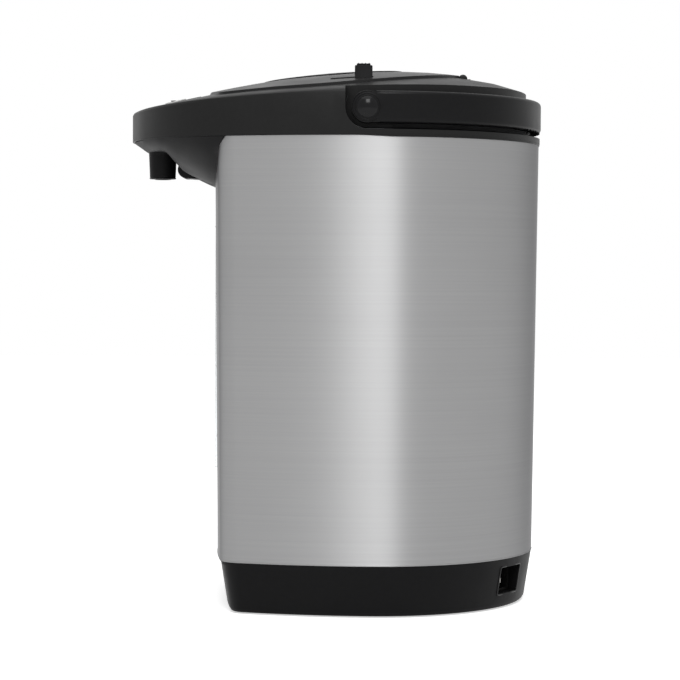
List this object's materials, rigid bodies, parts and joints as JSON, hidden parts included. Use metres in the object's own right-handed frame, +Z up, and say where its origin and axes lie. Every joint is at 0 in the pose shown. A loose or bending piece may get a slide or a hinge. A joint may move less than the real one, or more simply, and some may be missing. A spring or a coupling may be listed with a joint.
{
  "type": "electric thermo pot",
  "caption": "Tall brushed steel hot water pot on a black base, with a visor head, domed hinged lid, rear folding handle and front nozzle with cup lever.",
  "frame": {"origin": "on the body's axis, at the floor under the feet", "axes": "+Z up, -X towards the spout, +Y towards the right side seen from the spout"},
  "size_m": [0.2576, 0.2158, 0.3316],
  "materials": {
    "foot_rubber": "matt moulded rubber",
    "black_plastic": "black satin moulding",
    "base_plastic": "black satin moulding",
    "lid_plastic": "black satin moulding",
    "handle_plastic": "black satin moulding",
    "shroud_plastic": "black matt moulding",
    "gloss_black": "polished black moulding",
    "dark_moulding": "dark grey moulding",
    "inlet_plastic": "black heat-proof moulding",
    "impeller_plastic": "natural moulding",
    "clear_plastic": "clear window",
    "tube_glass": "clear glass tube",
    "silicone": "milky silicone",
    "insulation": "woven glass sleeve",
    "fuse_ceramic": "glazed body",
    "heater_mica": "mica ring heater",
    "brushed_steel": "horizontally brushed stainless sheet",
    "pot_steel": "satin stainless",
    "screw_steel": "plated steel",
    "contact_metal": "nickel-plated contacts",
    "cast_aluminium": "cast",
    "bimetal": "pressed",
    "shield_sheet": "rolled sheet",
    "motor_can": "zinc-plated can",
    "board_brown": "phenolic board",
    "board_green": "glass-fibre board",
    "lamp_green": "tinted lens",
    "button_red": "gloss moulding",
    "button_grey": "satin moulding"
  },
  "bodies": {
    "body": {"rubber_feet": "foot_rubber", "bottom_cover": "black_plastic", "base_screws": "screw_steel", "base_housing": "base_plastic", "inlet_socket": "inlet_plastic", "inlet_pins": "contact_metal", "outer_shell": "brushed_steel", "front_panel": "gloss_black", "level_window": "clear_plastic", "level_tube": "tube_glass", "inner_pot": "pot_steel", "pot_seal": "silicone", "insulation_sleeve": "insulation", "heating_plate": "cast_aluminium", "keep_warm_band": "heater_mica", "thermostat": "bimetal", "thermal_fuse": "fuse_ceramic", "heat_shield": "shield_sheet", "pump_housing": "dark_moulding", "pump_cover": "dark_moulding", "pump_motor": "motor_can", "suction_hose": "silicone", "delivery_hose": "silicone", "spout_pipe": "silicone", "power_board": "board_brown", "control_board": "board_green", "microswitch": "dark_moulding", "head_frame": "dark_moulding", "head_cover": "black_plastic", "head_screws": "screw_steel", "spout_shroud": "shroud_plastic", "nozzle": "shroud_plastic", "control_panel": "gloss_black", "indicator_lamps": "lamp_green", "cup_lever_pin": "screw_steel", "handle_pins": "screw_steel", "hinge_pin": "screw_steel", "latch_catch": "screw_steel"},
    "impeller": {"pump_impeller": "impeller_plastic"},
    "dispense_button": {"dispense_button": "button_red"},
    "reboil_button": {"reboil_button": "button_grey"},
    "unlock_button": {"unlock_button": "button_grey"},
    "cup_lever": {"cup_lever": "shroud_plastic"},
    "handle": {"handle": "handle_plastic", "handle_caps": "gloss_black"},
    "lid": {"lid_cover": "lid_plastic", "lid_base": "dark_moulding", "lid_seal": "silicone", "steam_vent": "shroud_plastic", "bellows": "silicone", "bellows_spring": "screw_steel", "latch_pin": "screw_steel"},
    "press_plate": {"press_plate": "lid_plastic"},
    "lock_slider": {"lock_slider": "shroud_plastic"},
    "lid_latch": {"lid_latch": "shroud_plastic"}
  },
  "joints": [
    {"name": "handle_swing", "type": "hinge", "parent": "body", "child": "handle", "pos_m": [-0.0053, 0, 0.3026], "axis": [0, -1, 0], "range_deg": [0, 95]},
    {"name": "lid_open", "type": "hinge", "parent": "body", "child": "lid", "pos_m": [0.0545, 0, 0.3252], "axis": [0, 1, 0], "range_deg": [0, 82]},
    {"name": "press_plate_travel", "type": "slide", "parent": "lid", "child": "press_plate", "axis": [0, 0, -1], "range_m": [0, 0.01], "stiffness_N_per_m": 600, "springref_m": -0.004, "deforming": ["bellows", "bellows_spring"]},
    {"name": "lock_slide", "type": "slide", "parent": "lid", "child": "lock_slider", "axis": [-1, 0, 0], "range_m": [0, 0.014]},
    {"name": "lid_latch_tip", "type": "hinge", "parent": "lid", "child": "lid_latch", "pos_m": [-0.093, 0, 0.3133], "axis": [0, -1, 0], "range_deg": [0, 8], "stiffness_Nm_per_rad": 0.3, "springref_deg": -11.46},
    {"name": "cup_lever_tip", "type": "hinge", "parent": "body", "child": "cup_lever", "pos_m": [-0.104, 0, 0.2678], "axis": [0, 1, 0], "range_deg": [0, 6], "stiffness_Nm_per_rad": 0.4, "springref_deg": -11.46},
    {"name": "dispense_press", "type": "slide", "parent": "body", "child": "dispense_button", "axis": [0, 0, -1], "range_m": [0, 0.0012], "stiffness_N_per_m": 500, "springref_m": -0.001},
    {"name": "reboil_press", "type": "slide", "parent": "body", "child": "reboil_button", "axis": [0, 0, -1], "range_m": [0, 0.0012], "stiffness_N_per_m": 500, "springref_m": -0.001},
    {"name": "unlock_press", "type": "slide", "parent": "body", "child": "unlock_button", "axis": [0, 0, -1], "range_m": [0, 0.0012], "stiffness_N_per_m": 500, "springref_m": -0.001},
    {"name": "impeller_spin", "type": "hinge", "parent": "body", "child": "impeller", "pos_m": [-0.034, 0, 0.0165], "axis": [0, 0, 1], "continuous": true}
  ]
}
